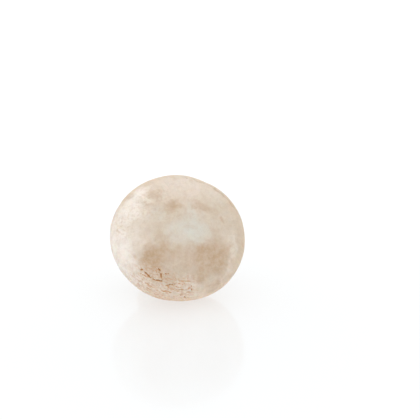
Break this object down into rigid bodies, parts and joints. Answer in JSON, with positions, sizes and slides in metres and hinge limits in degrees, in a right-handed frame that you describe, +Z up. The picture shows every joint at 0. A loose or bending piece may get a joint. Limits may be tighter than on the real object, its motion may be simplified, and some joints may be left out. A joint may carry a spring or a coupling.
{
  "type": "button mushroom",
  "caption": "White button mushroom lying on its side: round closed cap with bruised, partly cracked skin, closed veil and short cut stem.",
  "frame": {"origin": "centre of the bounding box in plan, on the surface that the mushroom rests on", "axes": "+Z up, -Y towards the front, where the crown of the cap faces; +X to the right seen from the front. The mushroom's own axis lies in the YZ plane, its crown 30 degrees above level"},
  "size_m": [0.048, 0.0488, 0.0442],
  "materials": {
    "cap_skin": "satin",
    "veil_membrane": "matte",
    "stem_fibre": "matte"
  },
  "bodies": {
    "root": {"cap": "cap_skin", "veil": "veil_membrane", "stem": "stem_fibre"}
  },
  "joints": []
}
